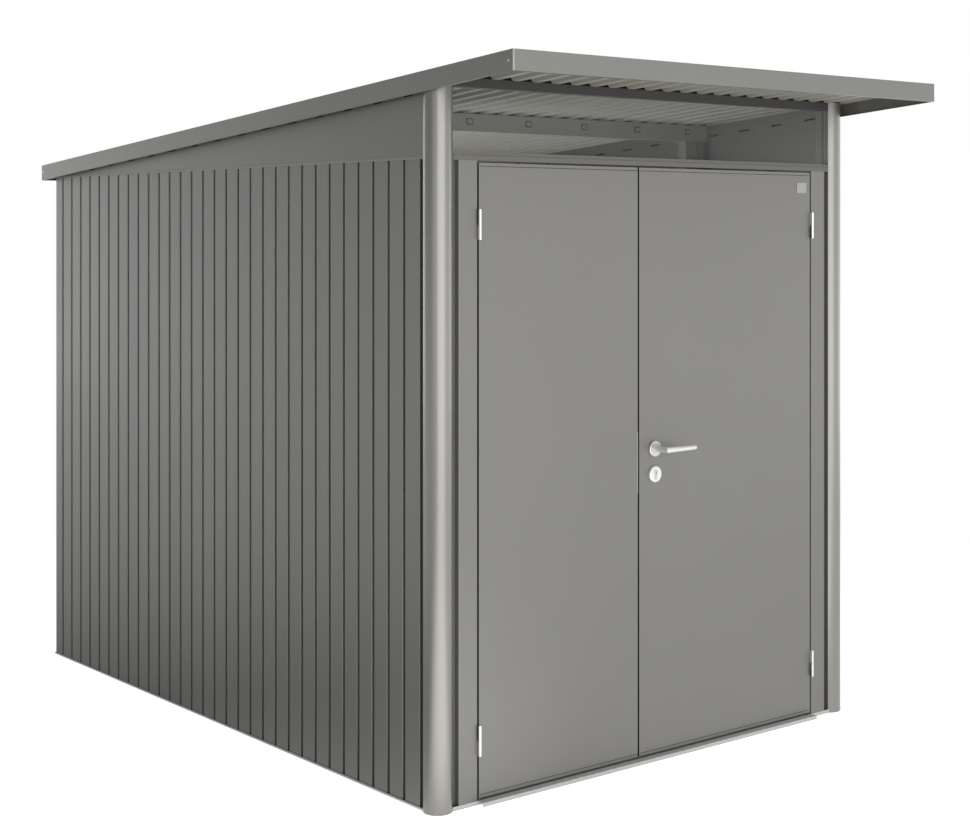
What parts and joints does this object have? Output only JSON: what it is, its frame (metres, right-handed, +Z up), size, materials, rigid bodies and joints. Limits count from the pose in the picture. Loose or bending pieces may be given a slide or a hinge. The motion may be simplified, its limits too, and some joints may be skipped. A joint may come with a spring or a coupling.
{
  "type": "metal storage shed",
  "caption": "Profiled sheet metal storage shed with a roof that falls to the rear, a glazed strip under the roof, round front posts and a pair of unequal lockable doors.",
  "frame": {"origin": "on the ground under the middle of the roof outline, at the height of the base rails' undersides", "axes": "+X along the front to the right as seen facing the doors, +Y from the doors to the rear wall, +Z up"},
  "size_m": [1.858, 2.969, 2.1906],
  "materials": {
    "wall_sheet": "satin metallic grey baked enamel on galvanised sheet",
    "door_sheet": "satin metallic grey baked enamel on flat galvanised sheet",
    "door_frame": "satin metallic grey baked enamel",
    "post_steel": "satin metallic grey enamel on rolled sheet",
    "fascia_sheet": "satin metallic grey baked enamel on folded sheet",
    "frame_steel": "matt grey enamel on folded steel",
    "roof_sheet": "pale grey backing coat on profiled roof sheet",
    "bare_zinc_sheet": "bare galvanised or natural aluminium, dull",
    "clear_acrylic": "clear flat acrylic sheet",
    "stainless_steel": "brushed stainless steel",
    "nickel_plate": "satin nickel plate",
    "satin_aluminium": "satin anodised aluminium"
  },
  "bodies": {
    "shell": {"door_header": "door_frame", "door_sill": "bare_zinc_sheet", "frame_hinges": "stainless_steel", "front_base_rail": "bare_zinc_sheet", "front_beam": "frame_steel", "front_fascia": "fascia_sheet", "front_purlin": "frame_steel", "left_base_rail": "bare_zinc_sheet", "left_fascia": "fascia_sheet", "left_front_post": "post_steel", "left_front_strip": "door_frame", "left_gable_panel": "wall_sheet", "left_rear_corner": "wall_sheet", "left_top_rail": "frame_steel", "left_wall_front": "wall_sheet", "left_wall_middle": "wall_sheet", "left_wall_rear": "wall_sheet", "middle_purlin": "frame_steel", "rear_base_rail": "bare_zinc_sheet", "rear_beam": "frame_steel", "rear_fascia": "fascia_sheet", "rear_top_rail": "frame_steel", "rear_wall_left": "wall_sheet", "rear_wall_right": "wall_sheet", "right_base_rail": "bare_zinc_sheet", "right_fascia": "fascia_sheet", "right_front_post": "post_steel", "right_front_strip": "door_frame", "right_gable_panel": "wall_sheet", "right_rear_corner": "wall_sheet", "right_top_rail": "frame_steel", "right_wall_front": "wall_sheet", "right_wall_middle": "wall_sheet", "right_wall_rear": "wall_sheet", "roof_sheet": "roof_sheet", "transom_glass": "clear_acrylic", "wall_posts": "frame_steel"},
    "left_door": {"left_door_leaf": "door_sheet", "door_strike": "stainless_steel", "left_door_hinges": "stainless_steel"},
    "right_door": {"right_door_leaf": "door_sheet", "door_lock": "nickel_plate", "handle_roses": "satin_aluminium", "right_door_hinges": "stainless_steel"},
    "lever": {"door_lever": "satin_aluminium"}
  },
  "joints": [
    {"name": "left_door_hinge", "type": "hinge", "parent": "shell", "child": "left_door", "pos_m": [-0.741, -1.1085, 0.95], "axis": [0, 0, -1], "range_deg": [0, 110]},
    {"name": "right_door_hinge", "type": "hinge", "parent": "shell", "child": "right_door", "pos_m": [0.741, -1.1085, 0.95], "axis": [0, 0, 1], "range_deg": [0, 110]},
    {"name": "lever_turn", "type": "hinge", "parent": "right_door", "child": "lever", "pos_m": [-0.0165, -1.0855, 0.9955], "axis": [0, 1, 0], "range_deg": [0, 45], "stiffness_Nm_per_rad": 1.2, "springref_deg": -28.65}
  ]
}
